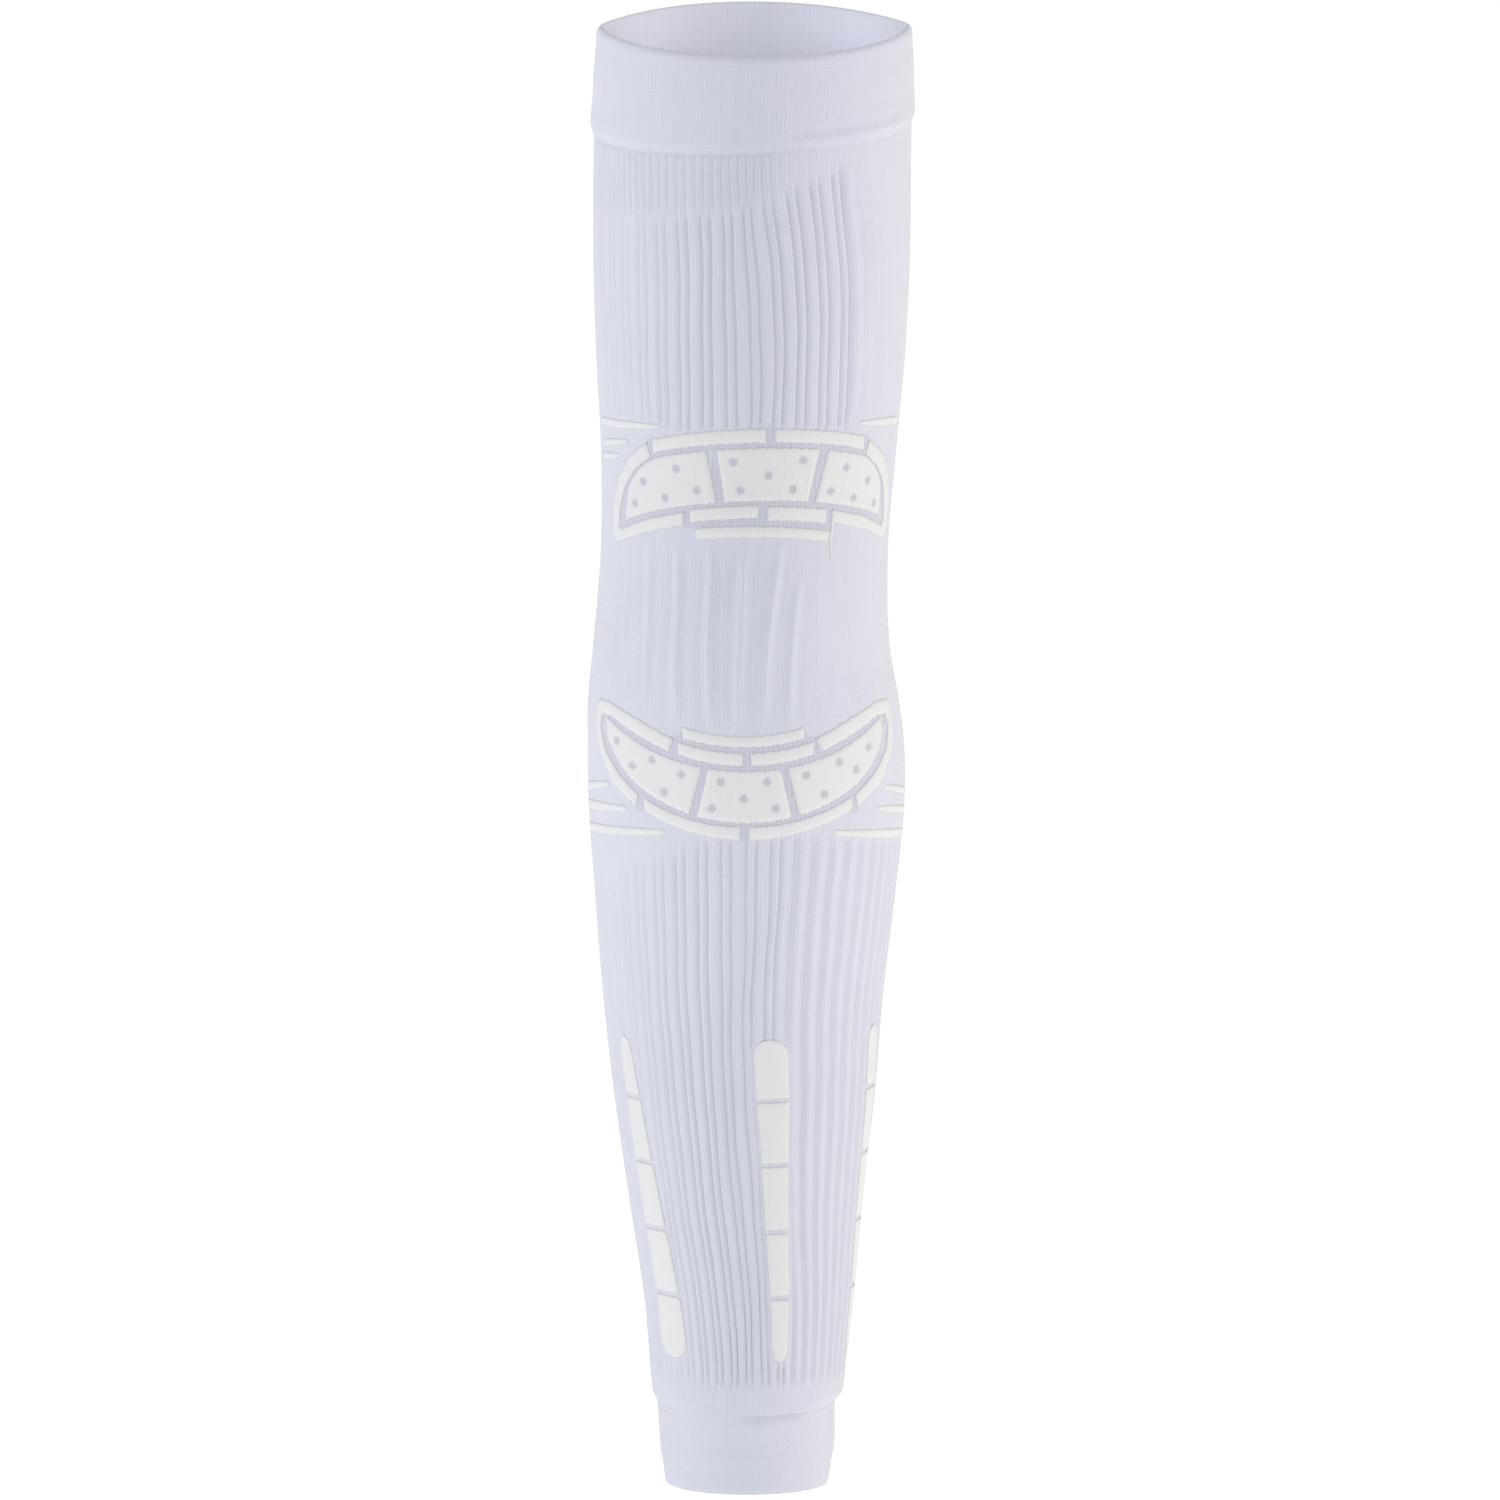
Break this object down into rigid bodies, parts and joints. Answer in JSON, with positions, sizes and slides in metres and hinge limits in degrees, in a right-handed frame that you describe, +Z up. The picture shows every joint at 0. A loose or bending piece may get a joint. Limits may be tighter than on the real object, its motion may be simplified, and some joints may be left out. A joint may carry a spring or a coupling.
{
  "type": "arm compression sleeve",
  "caption": "Knitted compression sleeve for the arm: ribbed tapering tube with a doubled upper band, a plain wrist cuff, raised crescent pads round the elbow and strips on the forearm.",
  "frame": {"origin": "centre of the upper-arm opening, at the mean height of its wavy rim", "axes": "+Z up along the arm, out of the upper-arm opening, with the wrist at -Z; -Y is the front that carries the pads; +X is the viewer's right"},
  "size_m": [0.0963, 0.0854, 0.4339],
  "materials": {
    "knit": "matt fine knit, pale lavender grey",
    "pad_yarn": "matt raised yarn, pale cream"
  },
  "bodies": {
    "root": {"top_band": "knit", "knit_sleeve": "knit", "wrist_cuff": "knit", "upper_bar_top_left": "pad_yarn", "upper_bar_top_right": "pad_yarn", "upper_bar_low_left": "pad_yarn", "upper_bar_low_right": "pad_yarn", "upper_bar_bottom": "pad_yarn", "lower_bar_top": "pad_yarn", "lower_bar_mid_left": "pad_yarn", "lower_bar_mid_right": "pad_yarn", "lower_bar_bottom_left": "pad_yarn", "lower_bar_bottom_right": "pad_yarn", "upper_pad_left": "pad_yarn", "upper_pad_middle": "pad_yarn", "upper_pad_right": "pad_yarn", "lower_pad_left": "pad_yarn", "lower_pad_middle": "pad_yarn", "lower_pad_right": "pad_yarn", "upper_loop_left": "pad_yarn", "upper_loop_right": "pad_yarn", "lower_loop_left": "pad_yarn", "lower_loop_right": "pad_yarn", "upper_ray_left_1": "pad_yarn", "upper_ray_left_2": "pad_yarn", "upper_ray_left_3": "pad_yarn", "upper_ray_right_1": "pad_yarn", "lower_ray_left_1": "pad_yarn", "lower_ray_left_2": "pad_yarn", "lower_ray_left_3": "pad_yarn", "lower_ray_right_1": "pad_yarn", "lower_ray_right_2": "pad_yarn", "lower_ray_right_3": "pad_yarn", "strip_left_1": "pad_yarn", "strip_left_2": "pad_yarn", "strip_left_3": "pad_yarn", "strip_left_4": "pad_yarn", "strip_left_5": "pad_yarn", "strip_centre_1": "pad_yarn", "strip_centre_2": "pad_yarn", "strip_centre_3": "pad_yarn", "strip_centre_4": "pad_yarn", "strip_centre_5": "pad_yarn", "strip_right_1": "pad_yarn", "strip_right_2": "pad_yarn", "strip_right_3": "pad_yarn", "strip_right_4": "pad_yarn", "strip_right_5": "pad_yarn"}
  },
  "joints": []
}
